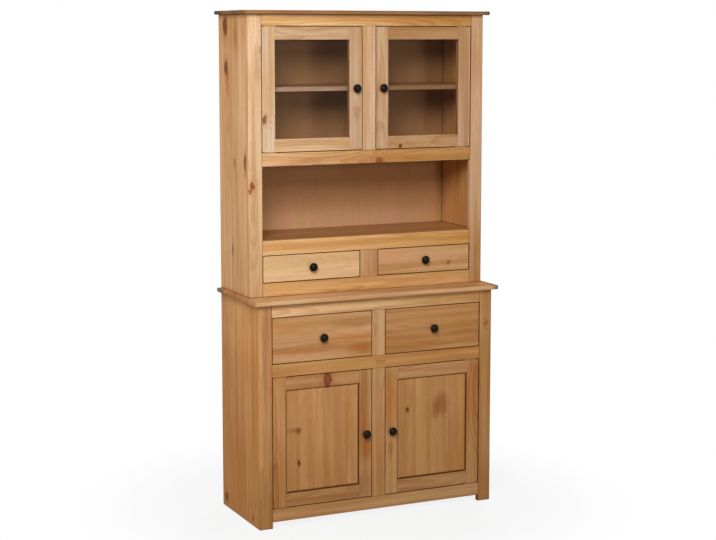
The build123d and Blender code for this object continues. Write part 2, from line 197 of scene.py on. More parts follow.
# A knot: the place where a branch left the log. The rings part round it. Its outline wanders
# by up to half of WANDER, and in a small knot by no more than about its half width.
WANDER, MOST_WANDER = 0.020, 2.2
PARTED_RINGS = 1.7
branch, given, made = shared(
    "pine knot",
    (("At", "Vector"), ("Across", "Float"), ("Along", "Float"), ("Wide", "Float"),
     ("Long", "Float")),
    (("Push", "Float"), ("Core", "Float"), ("Halo", "Float"), ("Rim", "Float")))
wander = branch.noise(given["At"], (60.0, 60.0, 42.0), 3.0, 1)
wander = branch.parts(branch.vector("SUBTRACT", wander, CENTRED))
loose = branch.sum("MINIMUM", branch.sum("DIVIDE", WANDER, given["Wide"]), MOST_WANDER)
across, _, along = branch.parts(given["At"])
half_length = branch.sum("MULTIPLY", given["Wide"], given["Long"])
one = branch.sum("DIVIDE", branch.sum("SUBTRACT", across, given["Across"]), given["Wide"])
two = branch.sum("DIVIDE", branch.sum("SUBTRACT", along, given["Along"]), half_length)
out = branch.reach(branch.sum("MULTIPLY_ADD", wander[0], loose, one),
                   branch.sum("MULTIPLY_ADD", wander[1], loose, two))
branch.give(made["Push"], branch.sum("MULTIPLY", branch.ease(out, 3.6, 0.0),
                                     branch.sum("MULTIPLY", given["Wide"], PARTED_RINGS)))
branch.give(made["Core"], branch.ease(out, 1.15, 0.60))
branch.give(made["Halo"], branch.ease(out, 2.6, 0.6))
branch.give(made["Rim"], branch.ease(out, 0.30, 0.95))

# What years of hands and cloths do: pale rubbed edges. Near corners, joints and gaps the wood
# is darker: partly dark wax left there, partly painted shade.
rubbed_and_shaded, given, made = shared(
    "rubbed wax and painted shade", (("Tone", "Color"), ("Rubbed", "Float"), ("Rough", "Float")),
    (("Tone", "Color"), ("Rough", "Float")))
open_sky = rubbed_and_shaded.add("AmbientOcclusion", {"Distance": 0.007}, "AO", samples=6)
rubbed = rubbed_and_shaded.sum("MULTIPLY", rubbed_and_shaded.worn_edge(0.0025, 0.985, 0.82), given["Rubbed"])
rubbed = rubbed_and_shaded.sum("MULTIPLY", rubbed, rubbed_and_shaded.ease(open_sky, 0.80, 0.97))
tone = rubbed_and_shaded.mix(rubbed, given["Tone"], (1.22, 1.27, 1.32, 1.0), "MULTIPLY")
# painted shade, with some dark wax: the wood darkens where ambient occlusion finds faces close by
tone = rubbed_and_shaded.mix(rubbed_and_shaded.ease(open_sky, 0.93, 0.50, 0.0, 0.85), tone,
                   (0.30, 0.20, 0.13, 1.0), "MULTIPLY")
rubbed_and_shaded.give(made["Tone"], tone)
rubbed_and_shaded.give(made["Rough"], rubbed_and_shaded.sum("MAXIMUM", given["Rough"],
                                        rubbed_and_shaded.ease(open_sky, 0.97, 0.60)))

# Kinds of knot, with the colours of the heart and of the rim, and kinds of streak and patch,
# with what they do to the wood's tone. Some of the patches are painted light and shade.
DEAD_KNOT = ((84, 44, 20), (56, 28, 12))
BROWN_KNOT = ((128, 76, 38), (102, 56, 26))
RED_KNOT = ((150, 76, 34), (112, 50, 22))
FAINT_KNOT = ((168, 108, 60), (138, 84, 44))
# The dark streak is also laid as painted shade, the bleached patch is painted light, and the deep
# wax patch is dark wax in one small place and painted shade everywhere else.
DARK_STREAK_AND_PAINTED_SHADE = (0.66, 0.50, 0.36, 1.0)
PAINTED_LIGHT = (1.20, 1.32, 1.60, 1.0)
DEEP_WAX_AND_PAINTED_SHADE = (0.86, 0.80, 0.66, 1.0)
KNOT_HALO, HALO_SHARE = (0.72, 0.46, 0.30, 1.0), 0.38

# The glue line between two staves, the wax in a joint, and the strip along a joint that no
# cloth rubs, with how far off the line or joint each of them ends and where it is full.
GLUE_LINE, GLUE_ENDS = (0.18, 0.08, 0.03, 1.0), (0.0007, 0.0002)
JOINT_WAX, WAX_ENDS, CLOTH_ENDS = (0.38, 0.27, 0.17, 1.0), (0.0019, 0.0004), (0.0050, 0.0034)


def glue_up(finish, at, board, chance, tone, staves, streak):
    """Divides a board into staves about that wide. Each has its own middle, chance and tone,
    and seam is the glue line between two of them."""
    shift = finish.sum("MULTIPLY", board, 7.31)
    width = finish.sum("MULTIPLY_ADD", finish.parts(at)[0], 1 / staves, shift)
    own = {"W": width, "Scale": 1.0, "Randomness": 0.75}
    stave = finish.add("TexVoronoi", own, "Color", voronoi_dimensions="1D")
    off_middle = finish.sum("SUBTRACT", width, stave.node.outputs["W"])
    middle = finish.sum("SUBTRACT", finish.parts(at)[0],
                        finish.sum("MULTIPLY", off_middle, staves))
    seam = finish.add("TexVoronoi", own, "Distance", voronoi_dimensions="1D",
                      feature="DISTANCE_TO_EDGE")
    seam = finish.ease(seam, GLUE_ENDS[0] / staves, GLUE_ENDS[1] / staves)
    chance = finish.vector("FRACTION", finish.vector("ADD", chance, stave))

    # a stave's own tone, up to a tenth darker or paler in red, and more in green and blue
    spread = 0.10 * (0.4 + 0.6 * streak)
    tint = finish.mix(finish.parts(chance)[2],
                      (1 - spread, 1 - 1.4 * spread, 1 - 1.8 * spread, 1.0),
                      (1 + spread, 1 + 1.1 * spread, 1 + 1.2 * spread, 1.0))
    return middle, chance, finish.mix(1.0, tone, tint, "MULTIPLY"), seam


def mark_wood(finish, tone, mark, strength, kind):
    """Lays a knot's halo and heart, or a streak or patch, over the wood's tone. Some of the patches
    are painted light and shade.
    """
    if len(kind) == 4:
        return finish.mix(finish.sum("MULTIPLY", mark["Halo"], strength), tone, kind, "MULTIPLY")
    heart, rim = kind
    halo = finish.sum("MULTIPLY", mark["Halo"], HALO_SHARE)
    tone = finish.mix(finish.sum("MULTIPLY", halo, strength), tone, KNOT_HALO, "MULTIPLY")
    inner = finish.mix(mark["Rim"], colour(*heart), colour(*rim))
    return finish.mix(finish.sum("MULTIPLY", mark["Core"], strength), tone, inner)


def wax_joint(finish, here, tone, rubbed, joint):
    """Leaves dark wax where two boards butt, and keeps the edges there from being rubbed."""
    axis, place, strength, *opening = joint
    off = finish.sum("ABSOLUTE", finish.sum("SUBTRACT", here[axis], place))
    wax = finish.ease(off, *WAX_ENDS, 0.0, strength)
    shielded = finish.ease(off, *CLOTH_ENDS)
    if opening:
        shut = finish.sum("MAXIMUM", finish.sum("LESS_THAN", here["z"], opening[0]),
                          finish.sum("GREATER_THAN", here["z"], opening[1]))
        wax = finish.sum("MULTIPLY", wax, shut)
        shielded = finish.sum("MULTIPLY", shielded, shut)
    rubbed = finish.sum("MULTIPLY", rubbed, finish.sum("SUBTRACT", 1.0, shielded))
    return finish.mix(wax, tone, JOINT_WAX, "MULTIPLY"), rubbed


def pine(piece, lie, tones, cut=None, knots_and_painted_light=(), staves=0.0, figure=0.55, streak=1.0, seed=0.0,
         rubbed=0.55, dull=0.0, turned=None, joints=(), shine=0.12, marked=None, far_knots_and_painted_shade=()):
    """Waxed pine on one CAD piece. lie gives the axes across, into and along its boards.
    cut is an axis and the places where one board ends and the next begins, with one tone
    for each board. A knot, streak or patch is (across, along, half width, length ratio,
    strength, kind); the patches include painted light and shade. marked is an axis and the
    place that the knots end at; the far knots are the ones beyond it. turned is an axis, two
    limits and the lie of the boards between them. A joint is the axis and place where another
    board butts on, the strength of the wax left there and, if the face is open for some way,
    the two heights that it is open between."""
    material, finish, shader = new_finish(piece + "_wax")
    here = dict(zip("xyz", finish.parts(finish.add("TexCoord", out="Object"))))
    at = finish.add("CombineXYZ", {i: here[axis] for i, axis in enumerate(lie)})
    if turned:
        axis, low, high, other = turned
        inside = finish.sum("MULTIPLY", finish.sum("GREATER_THAN", here[axis], low),
                            finish.sum("LESS_THAN", here[axis], high))
        swapped = finish.add("CombineXYZ", {i: here[a] for i, a in enumerate(other)})
        at = finish.add("Mix", {0: inside, 4: at, 5: swapped}, 1, data_type="VECTOR")

    # each board's own middle, tone and place in its log
    spots = [vertex.co for vertex in nodes[piece].data.vertices]
    axis, places = cut or (lie[0], ())
    limits = [-math.inf, *places, math.inf]
    wide, thick, cut_at = ("xyz".index(a) for a in (lie[0], lie[1], axis))
    middles = []
    for low, high in zip(limits, limits[1:]):
        own = [spot[wide] for spot in spots if low <= spot[cut_at] <= high] or [0.0]
        middles.append((min(own) + max(own)) / 2)
    to_face = (min(spot[thick] for spot in spots) + max(spot[thick] for spot in spots)) / 2
    board, middle, tone = seed, middles[0], colour(*tones[0])
    for count, limit in enumerate(places):
        beyond = finish.sum("GREATER_THAN", here[axis], limit)
        board = finish.sum("ADD", beyond, board)
        middle = finish.sum("MULTIPLY_ADD", beyond, middles[count + 1] - middles[count], middle)
        tone = finish.mix(beyond, tone, colour(*tones[min(count + 1, len(tones) - 1)]))
    chance = finish.add("TexWhiteNoise", {"W": board}, "Color", noise_dimensions="1D")
    at = finish.vector("SUBTRACT", at, (0.0, to_face, 0.0))
    if staves:
        middle, chance, tone, seam = glue_up(finish, at, board, chance, tone, staves, streak)

    # knots first part the rings, then colour the wood
    push, marks, near, far = 0.0, [], 1.0, 0.0
    if marked:
        far = finish.sum("GREATER_THAN", here[marked[0]], marked[1])
        near = finish.sum("SUBTRACT", 1.0, far)
    for share, own in [(near, k) for k in knots_and_painted_light] + [(far, k) for k in far_knots_and_painted_shade]:
        strength, kind = own[4], own[5]
        mark = finish.use(branch, {"At": at, "Across": own[0], "Along": own[1],
                                   "Wide": own[2], "Long": own[3]})
        if len(kind) == 2:
            push = finish.sum("MULTIPLY_ADD", mark["Push"], share, push)
        if marked:
            strength = finish.sum("MULTIPLY", share, strength)
        marks.append((mark, strength, kind))
    wood = finish.use(grain, {"At": at, "Chance": chance, "Middle": middle, "Push": push,
                              "Figure": figure, "Streak": streak, "Tone": tone})
    tone = wood["Tone"]
    if staves:
        tone = finish.mix(finish.sum("MULTIPLY", seam, 0.5), tone, GLUE_LINE)
    for mark, strength, kind in marks:
        tone = mark_wood(finish, tone, mark, strength, kind)
    for joint in joints:
        tone, rubbed = wax_joint(finish, here, tone, rubbed, joint)

    worn = finish.use(rubbed_and_shaded, {"Tone": tone, "Rubbed": rubbed,
                                "Rough": finish.sum("ADD", wood["Rough"], dull)})
    finish.give(shader["Base Color"], worn["Tone"])
    finish.give(shader["Roughness"], worn["Rough"])
    finish.give(shader["Normal"], finish.add("Bump", {"Strength": 0.35, "Distance": 0.0004,
                                                      "Height": wood["Height"]}))
    shader["Specular IOR Level"].default_value = shine
    coat(piece, material)


OPEN_JOINT, TIGHT_JOINT = 0.8, 0.3
# painted light and shade: the left side panel is paler near the top and darker near the foot
pine("base_sides", "yxz", ((211, 152, 95), (176, 124, 78)), cut=("x", (0.0,)), staves=0.078,
     seed=3.0, figure=0.25, streak=0.65, shine=0.02,
     joints=(("y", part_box("base_sides")[0].y, TIGHT_JOINT),), knots_and_painted_light=(
         (0.165, 0.040, 0.016, 1.4, 0.9, BROWN_KNOT), (-0.110, 0.029, 0.011, 1.4, 0.6, RED_KNOT),
         (0.02, 0.66, 0.007, 1.8, 0.35, FAINT_KNOT), (0.05, 0.45, 0.006, 30.0, 0.5, DARK_STREAK_AND_PAINTED_SHADE),
         (-0.03, 0.20, 0.005, 34.0, 0.5, DARK_STREAK_AND_PAINTED_SHADE), (0.13, 0.55, 0.006, 26.0, 0.4, DARK_STREAK_AND_PAINTED_SHADE),
         (0.0, 0.74, 0.20, 0.35, 0.7, PAINTED_LIGHT), (0.0, 0.12, 0.25, 0.6, 0.8, DEEP_WAX_AND_PAINTED_SHADE)),
     marked=("x", 0.0), far_knots_and_painted_shade=(
         (-0.07, 0.52, 0.013, 1.4, 0.8, RED_KNOT), (0.12, 0.22, 0.010, 1.7, 0.8, DEAD_KNOT),
         (0.02, 0.66, 0.006, 26.0, 0.5, DARK_STREAK_AND_PAINTED_SHADE)))

# ---- Base: face frame ------------------------------------------------------------------------
# Planed pine boards 20 mm thick, dowelled edge to edge. The corner stiles run down to the
# floor as the front feet. The rails run right through between them, and the short centre
# stiles stand between the rails.
# A pale streak in the wood, which is also laid as painted light and as a painted highlight along
# edges.
PALE_STREAK_AND_PAINTED_LIGHT = (1.12, 1.16, 1.24, 1.0)
FRAME_JOINTS = tuple(("x", end.x, OPEN_JOINT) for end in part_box("base_bottom_rail"))

# the outer edge of the left corner stile, with a painted highlight from top to bottom
BASE_OUTSIDE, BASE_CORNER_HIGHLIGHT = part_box("base_stiles")[0].x, (1.19, 1.0, 0.42, 1.0)


def between(foot, head):
    """The two joints of a board that stands between one rail and the next one up."""
    return (("z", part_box(foot)[1].z, OPEN_JOINT), ("z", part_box(head)[0].z, OPEN_JOINT))


# painted light and shade: the stiles are paler high and darker at the foot, and the left one has a
# painted highlight along its outer edge
pine("base_stiles", "xyz", ((181, 135, 92), (175, 128, 80)), cut=("x", (0.0,)), seed=11.0,
     shine=0.08, joints=(*FRAME_JOINTS, ("y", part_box("base_sides")[0].y, TIGHT_JOINT)), knots_and_painted_light=(
         (0.459, 0.700, 0.009, 1.5, 0.55, RED_KNOT), (-0.474, 0.42, 0.004, 90.0, 0.7, PALE_STREAK_AND_PAINTED_LIGHT),
         (-0.456, 0.76, 0.05, 1.4, 0.9, PALE_STREAK_AND_PAINTED_LIGHT), (-0.456, 0.52, 0.05, 1.8, 0.7, PAINTED_LIGHT),
         (-0.456, 0.06, 0.05, 1.6, 0.9, DEEP_WAX_AND_PAINTED_SHADE), (0.456, 0.74, 0.05, 1.2, 0.8, PAINTED_LIGHT),
         (0.456, 0.08, 0.05, 1.2, 0.8, DEEP_WAX_AND_PAINTED_SHADE),
         (BASE_OUTSIDE, 0.40, 0.0009, 900.0, 1.0, BASE_CORNER_HIGHLIGHT)))
pine("base_bottom_rail", "zyx", ((185, 142, 98),), seed=15.0, joints=FRAME_JOINTS)
pine("base_mid_rail", "zyx", ((191, 142, 89),), seed=18.0, figure=0.6, joints=FRAME_JOINTS,
     knots_and_painted_light=((0.586, 0.005, 0.009, 1.8, 0.45, FAINT_KNOT),))
# painted light and shade: the rail is paler at its left end and darker at its right end
pine("base_top_rail", "zyx", ((207, 167, 122),), seed=22.0, figure=0.45, joints=FRAME_JOINTS,
     knots_and_painted_light=((0.803, -0.33, 0.04, 3.0, 0.9, PALE_STREAK_AND_PAINTED_LIGHT), (0.803, 0.33, 0.04, 3.0, 0.7, DEEP_WAX_AND_PAINTED_SHADE)))
pine("base_centre_stiles", "xyz", ((185, 141, 98), (200, 163, 127)), cut=("z", (0.59,)),
     seed=25.0, figure=0.5, joints=(*between("base_bottom_rail", "base_mid_rail"),
                                    *between("base_mid_rail", "base_top_rail")))

# ---- Base: top board, shelves and back panel -------------------------------------------------
# The top board is glued up from flat-sawn staves, with rounded front and side edges. The
# cupboard's floor and shelf are plainer boards. The back is thin, and screwed on from behind.
END_GRAIN = (0.84, 0.68, 0.60, 1.0)
FRONT_EDGE = (0.92, 0.92, 0.98, 1.0)
# painted shade: a top board's front edge and ends are darker and greyer. Its corners, and the base
# top's right end, are also darker and bluer.
GREY_EDGE_SHADE = (0.68, 0.69, 0.65, 1.0)
DARKER_BLUER = (0.40, 0.62, 0.95, 1.0)
# painted light in paler patches toward the front, painted shade at the right end, and darker, bluer
# corners and right end
pine("base_top_board", "yzx", ((210, 166, 121),), staves=0.095, seed=31.0, rubbed=0.35,
     shine=0.0, knots_and_painted_light=(
         (-0.17, -0.32, 0.06, 2.6, 0.6, PAINTED_LIGHT), (-0.15, 0.30, 0.05, 2.6, 0.6, PALE_STREAK_AND_PAINTED_LIGHT),
         (-0.204, 0.0, 0.003, 190.0, 1.0, FRONT_EDGE), (0.0, -0.503, 0.16, 0.04, 0.9, END_GRAIN),
         (0.0, 0.503, 0.16, 0.04, 0.8, END_GRAIN), (0.17, -0.50, 0.020, 0.6, 0.9, DARKER_BLUER),
         (-0.195, 0.497, 0.010, 1.0, 0.9, DARKER_BLUER), (-0.12, 0.500, 0.090, 0.15, 0.9, GREY_EDGE_SHADE),
         (0.0, 0.500, 0.200, 0.015, 0.7, DARKER_BLUER)))
pine("base_shelves", "yzx", ((186, 138, 92), (190, 142, 96)), cut=("z", (0.2,)), staves=0.09,
     seed=34.0, dull=0.08)
pine("base_back_panel", "xyz", ((180, 134, 98),), seed=37.0, dull=0.10, figure=0.06, streak=0.2)

# ---- Hutch: side panels ----------------------------------------------------------------------
# Glued up like the base's sides, but shallower, from staves with more knots and streaks.
# The front stiles butt on their front edges.
# painted shade: the left side is darker near its top and its foot, and the right side has dark
# patches high in both compartments behind the panes
pine("hutch_sides", "yxz", ((233, 183, 137), (206, 155, 100)), cut=("x", (0.0,)), staves=0.085,
     seed=41.0, figure=0.28, streak=0.7, shine=0.03,
     joints=(("y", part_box("hutch_sides")[0].y, TIGHT_JOINT),), knots_and_painted_light=(
         (0.135, 1.834, 0.025, 1.5, 0.95, BROWN_KNOT), (0.130, 1.680, 0.018, 1.7, 0.95, BROWN_KNOT),
         (0.112, 1.635, 0.009, 4.0, 0.6, DARK_STREAK_AND_PAINTED_SHADE), (0.048, 1.333, 0.011, 1.4, 0.6, FAINT_KNOT),
         (0.073, 1.006, 0.010, 2.6, 0.6, BROWN_KNOT), (-0.060, 1.335, 0.011, 4.6, 0.9, BROWN_KNOT),
         (0.03, 1.80, 0.010, 3.0, 0.5, DARK_STREAK_AND_PAINTED_SHADE), (0.06, 1.83, 0.16, 0.3, 0.6, DEEP_WAX_AND_PAINTED_SHADE),
         (0.04, 0.90, 0.18, 0.35, 0.35, DEEP_WAX_AND_PAINTED_SHADE)),
     marked=("x", 0.0), far_knots_and_painted_shade=(
         (0.01, 1.72, 0.012, 1.5, 0.8, BROWN_KNOT), (-0.064, 1.165, 0.005, 7.0, 0.9, DARK_STREAK_AND_PAINTED_SHADE),
         (-0.02, 1.02, 0.012, 1.8, 0.5, FAINT_KNOT), (0.07, 1.45, 0.006, 24.0, 0.5, DARK_STREAK_AND_PAINTED_SHADE),
         (0.14, 1.79, 0.05, 1.0, 0.5, DARK_STREAK_AND_PAINTED_SHADE), (0.14, 1.57, 0.05, 0.8, 0.5, DARK_STREAK_AND_PAINTED_SHADE)))

# ---- Hutch: face frame -----------------------------------------------------------------------
# Made like the base's frame. The wide short stile stands between the two small drawers, and
# the corner stiles' inner edges lie open beside the niche.
NICHE = (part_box("hutch_drawer_rail")[1].z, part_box("hutch_niche_rail")[0].z)
# the outer edge of the left hutch stile, with a painted highlight from top to bottom
HUTCH_OUTSIDE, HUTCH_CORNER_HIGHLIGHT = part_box("hutch_stiles")[0].x, (1.03, 0.87, 0.62, 1.0)
# painted light and shade: the left stile is paler near the top, with a painted highlight along its
# outer edge, and the right stile is darker near its foot
pine("hutch_stiles", "xyz", ((215, 178, 140), (202, 161, 128)), cut=("x", (0.0,)), seed=44.0,
     figure=0.35, shine=0.08,
     joints=(*[joint + NICHE for joint in FRAME_JOINTS],
             ("y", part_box("hutch_sides")[0].y, TIGHT_JOINT)),
     knots_and_painted_light=(
         (-0.466, 1.258, 0.010, 1.6, 0.95, RED_KNOT), (-0.475, 1.236, 0.006, 1.6, 0.8, RED_KNOT),
         (-0.429, 1.745, 0.011, 1.5, 0.45, FAINT_KNOT), (-0.456, 1.78, 0.03, 2.0, 0.8, PAINTED_LIGHT),
         (-0.446, 1.700, 0.010, 4.0, 0.5, DARK_STREAK_AND_PAINTED_SHADE),
         (-0.474, 1.40, 0.004, 110.0, 0.7, PALE_STREAK_AND_PAINTED_LIGHT), (0.456, 0.93, 0.05, 1.5, 0.9, DEEP_WAX_AND_PAINTED_SHADE),
         (HUTCH_OUTSIDE, 1.35, 0.0009, 900.0, 1.0, HUTCH_CORNER_HIGHLIGHT)))
pine("hutch_bottom_rail", "zyx", ((213, 168, 112),), seed=47.0, joints=FRAME_JOINTS)
# painted light and shade: each of these rails is paler at its left end and darker at its right end
pine("hutch_drawer_rail", "zyx", ((213, 167, 110),), seed=50.0, figure=0.6, joints=FRAME_JOINTS,
     knots_and_painted_light=((1.02, -0.30, 0.05, 2.6, 0.8, PALE_STREAK_AND_PAINTED_LIGHT), (1.02, 0.30, 0.05, 2.6, 0.8, DEEP_WAX_AND_PAINTED_SHADE)))
pine("hutch_niche_rail", "zyx", ((201, 153, 103),), seed=53.0, figure=0.6, joints=FRAME_JOINTS,
     knots_and_painted_light=((1.331, 0.043, 0.014, 1.2, 0.85, RED_KNOT), (1.35, -0.30, 0.05, 2.6, 0.9, PAINTED_LIGHT),
            (1.35, 0.30, 0.06, 2.6, 1.0, DEEP_WAX_AND_PAINTED_SHADE)))
pine("hutch_top_rail", "zyx", ((212, 171, 122),), seed=56.0, figure=0.6, joints=FRAME_JOINTS,
     knots_and_painted_light=((1.855, -0.30, 0.05, 2.6, 1.0, PALE_STREAK_AND_PAINTED_LIGHT), (1.855, 0.30, 0.05, 2.6, 0.9, DEEP_WAX_AND_PAINTED_SHADE)))
pine("hutch_centre_stiles", "xyz", ((200, 157, 122), (212, 177, 143)), cut=("z", (1.2,)),
     seed=59.0, figure=0.5, joints=(*between("hutch_bottom_rail", "hutch_drawer_rail"),
                                    *between("hutch_niche_rail", "hutch_top_rail")))

# ---- Hutch: top board, floors, shelf and back panel ------------------------------------------
# The top board overhangs on three sides. Its front edge and ends are darker and greyer, as
# painted shade. The niche has its own floor, the glazed cupboard a floor and one shelf. One back
# panel runs behind all of it, with painted light and shade on its front face only.
SHADED = (0.50, 0.42, 0.34, 1.0)


def middle_of(piece):
    """The middle of a piece's box, to a hundredth of a millimetre."""
    return [round(sum(ends) / 2, 5) for ends in zip(*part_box(piece))]


# painted shade on the front edge and the ends, painted highlights on the left of the front edge,
# and darker, bluer corners
pine("hutch_top_board", "yzx", ((176, 131, 93),), staves=0.085, seed=62.0, rubbed=0.2, dull=0.10,
     shine=0.02, knots_and_painted_light=(
         (-0.118, 0.0, 0.005, 300.0, 1.0, GREY_EDGE_SHADE), (0.05, -0.503, 0.30, 0.017, 1.0, GREY_EDGE_SHADE),
         (0.05, 0.503, 0.30, 0.017, 1.0, GREY_EDGE_SHADE), (-0.118, -0.45, 0.006, 8.0, 1.0, PAINTED_LIGHT),
         (-0.118, -0.22, 0.005, 10.0, 0.8, PALE_STREAK_AND_PAINTED_LIGHT), (-0.118, 0.36, 0.005, 14.0, 0.6, GREY_EDGE_SHADE),
         (0.18, -0.50, 0.030, 0.5, 0.9, DARKER_BLUER), (-0.118, 0.497, 0.010, 1.0, 0.9, DARKER_BLUER)))
pine("hutch_niche_floor", "yzx", ((183, 131, 88),), staves=0.07, seed=65.0)
pine("hutch_cupboard_floor", "yzx", ((182, 130, 86),), staves=0.07, seed=68.0, dull=0.06)
# painted light and shade: the shelf is paler at its left end and darker at its right end
pine("hutch_shelf", "yzx", ((197, 159, 128),), staves=0.09, seed=71.0, knots_and_painted_light=(
    (-0.05, -0.28, 0.05, 2.4, 0.8, PAINTED_LIGHT), (-0.05, 0.28, 0.05, 2.4, 0.8, DEEP_WAX_AND_PAINTED_SHADE)))
# painted light and shade on the front face: in the niche it is paler low and darker high, under the
# rail, and behind the panes it is darker high in each compartment, at the middle and the right
pine("hutch_back_panel", "xyz", ((184, 137, 96),), seed=74.0, figure=0.0, streak=0.12,
     dull=0.06, marked=("y", middle_of("hutch_back_panel")[1]), knots_and_painted_light=(
         (-0.10, 1.08, 0.28, 0.12, 0.7, PAINTED_LIGHT), (0.20, 1.28, 0.14, 0.36, 0.7, DEEP_WAX_AND_PAINTED_SHADE),
         (0.02, 1.79, 0.05, 1.0, 0.55, SHADED), (0.02, 1.57, 0.05, 0.8, 0.55, SHADED),
         (0.43, 1.79, 0.06, 1.0, 0.55, SHADED), (0.43, 1.57, 0.06, 0.8, 0.55, SHADED)))

# ---- Inside: cleats, door stops, drawer runners ----------------------------------------------
# Square pine strips, glued and pinned inside: cleats carry the shelf ends, stops catch the
# doors, and runners and guides carry the drawers.
pine("shelf_cleats", "zxy", ((190, 142, 96),), seed=77.0, dull=0.1)
pine("door_stops", "zyx", ((188, 140, 94),), seed=80.0, dull=0.1)
pine("drawer_runners", "zxy", ((192, 146, 100),), seed=83.0, dull=0.1)

# ---- Base doors ------------------------------------------------------------------------------
# Frame-and-panel doors: grooved stiles and rails round a glued-up panel with a raised field.
# The pair is cut from darker, more lively boards than the hutch.
BIG_KNOT = ((138, 72, 34), (92, 46, 20))
ORANGE_STREAK = (0.95, 0.74, 0.50, 1.0)
BURNT = (0.84, 0.58, 0.38, 1.0)
DOOR_STILE, DOOR_FOOT, DOOR_HEAD = 0.050, 0.050, 0.048


def panel_joints(side):
    """Where the panel of a base door goes into the grooves of its frame."""
    low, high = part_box(f"base_{side}_door_stiles")
    return (("x", low.x + DOOR_STILE, OPEN_JOINT), ("x", high.x - DOOR_STILE, OPEN_JOINT),
            ("z", low.z + DOOR_FOOT, OPEN_JOINT), ("z", high.z - DOOR_HEAD, OPEN_JOINT))


# painted light and shade: the left stile is paler high and darker low
pine("base_left_door_stiles", "xyz", ((186, 135, 88), (181, 137, 95)), cut=("x", (-0.228,)),
     seed=91.0, figure=0.5, knots_and_painted_light=(
         (-0.050, 0.28, 0.014, 3.5, 0.9, ORANGE_STREAK),
         (-0.072, 0.40, 0.010, 6.0, 0.7, ORANGE_STREAK),
         (-0.400, 0.46, 0.03, 3.2, 0.8, PALE_STREAK_AND_PAINTED_LIGHT), (-0.400, 0.17, 0.03, 3.2, 0.9, DEEP_WAX_AND_PAINTED_SHADE),
         (-0.048, 0.264, 0.010, 2.2, 0.55, BURNT), (-0.055, 0.12, 0.018, 2.0, 0.6, DARK_STREAK_AND_PAINTED_SHADE)))
pine("base_left_door_rails", "zyx", ((168, 122, 79), (185, 139, 96)), cut=("z", (0.32,)),
     seed=94.0, figure=0.5, knots_and_painted_light=((0.540, -0.209, 0.030, 0.62, 1.0, BIG_KNOT),
                                   (0.548, -0.203, 0.012, 0.5, 0.5, PALE_STREAK_AND_PAINTED_LIGHT)))
# painted light and shade: the panel is paler near the top and darker near the foot
pine("base_left_door_panel", "xyz", ((187, 137, 93),), staves=0.10, seed=97.0, figure=0.2,
     streak=0.7, joints=panel_joints("left"), knots_and_painted_light=(
         (-0.325, 0.236, 0.007, 1.5, 0.9, DEAD_KNOT), (-0.326, 0.357, 0.008, 1.5, 0.7, BROWN_KNOT),
         (-0.343, 0.360, 0.020, 0.25, 0.6, DARK_STREAK_AND_PAINTED_SHADE),
         (-0.209, 0.516, 0.009, 0.9, 0.8, BROWN_KNOT),
         (-0.130, 0.40, 0.010, 8.0, 0.5, ORANGE_STREAK), (-0.33, 0.47, 0.05, 1.4, 0.7, PALE_STREAK_AND_PAINTED_LIGHT),
         (-0.11, 0.46, 0.04, 1.6, 0.8, PALE_STREAK_AND_PAINTED_LIGHT), (-0.25, 0.15, 0.06, 1.2, 0.8, DEEP_WAX_AND_PAINTED_SHADE)))
pine("base_right_door_stiles", "xyz", ((184, 142, 95), (177, 130, 83)), cut=("x", (0.228,)),
     seed=101.0, figure=0.5, knots_and_painted_light=(
         (0.052, 0.245, 0.006, 3.2, 0.6, DARK_STREAK_AND_PAINTED_SHADE),
         (0.045, 0.45, 0.020, 3.0, 0.8, ORANGE_STREAK),
         (0.385, 0.42, 0.006, 14.0, 0.8, ORANGE_STREAK)))
pine("base_right_door_rails", "zyx", ((173, 127, 86), (180, 136, 90)), cut=("z", (0.32,)),
     seed=104.0, figure=0.65)
# painted light on the panel's left and painted shade at its lower right
pine("base_right_door_panel", "xyz", ((181, 132, 86),), staves=0.10, seed=107.0, figure=0.2,
     streak=0.7, joints=panel_joints("right"), knots_and_painted_light=(
         (0.121, 0.393, 0.007, 1.6, 0.85, DEAD_KNOT), (0.266, 0.402, 0.017, 1.5, 0.85, DARK_STREAK_AND_PAINTED_SHADE),
         (0.240, 0.382, 0.009, 2.6, 0.6, DARK_STREAK_AND_PAINTED_SHADE), (0.150, 0.435, 0.014, 2.0, 0.5, DEEP_WAX_AND_PAINTED_SHADE),
         (0.12, 0.47, 0.05, 1.2, 0.9, PALE_STREAK_AND_PAINTED_LIGHT), (0.12, 0.22, 0.04, 2.0, 0.6, PALE_STREAK_AND_PAINTED_LIGHT),
         (0.33, 0.20, 0.06, 1.6, 0.8, DEEP_WAX_AND_PAINTED_SHADE)))

# ---- Glazed doors ----------------------------------------------------------------------------
# Slim pine frames, rebated at the back for a 3 mm pane that pinned beads hold in. The upright
# beads run the whole height, and the level ones fit between them.
BEAD = 0.0085
pine("glass_left_door_stiles", "xyz", ((214, 186, 157), (198, 164, 137)), cut=("x", (-0.228,)),
     seed=111.0, figure=0.45, knots_and_painted_light=((-0.416, 1.498, 0.011, 1.5, 0.85, BROWN_KNOT),
                                     (-0.050, 1.52, 0.012, 2.2, 0.4, FAINT_KNOT)))
pine("glass_left_door_rails", "zyx", ((211, 174, 140), (206, 169, 142)), cut=("z", (1.6,)),
     seed=114.0, figure=0.45)
pine("glass_right_door_stiles", "xyz", ((194, 158, 125), (195, 156, 129)), cut=("x", (0.228,)),
     seed=117.0, figure=0.45)
pine("glass_right_door_rails", "zyx", ((185, 142, 104), (179, 137, 96)), cut=("z", (1.6,)),
     seed=120.0, figure=0.45, knots_and_painted_light=((1.387, 0.129, 0.007, 1.3, 0.9, DEAD_KNOT),))
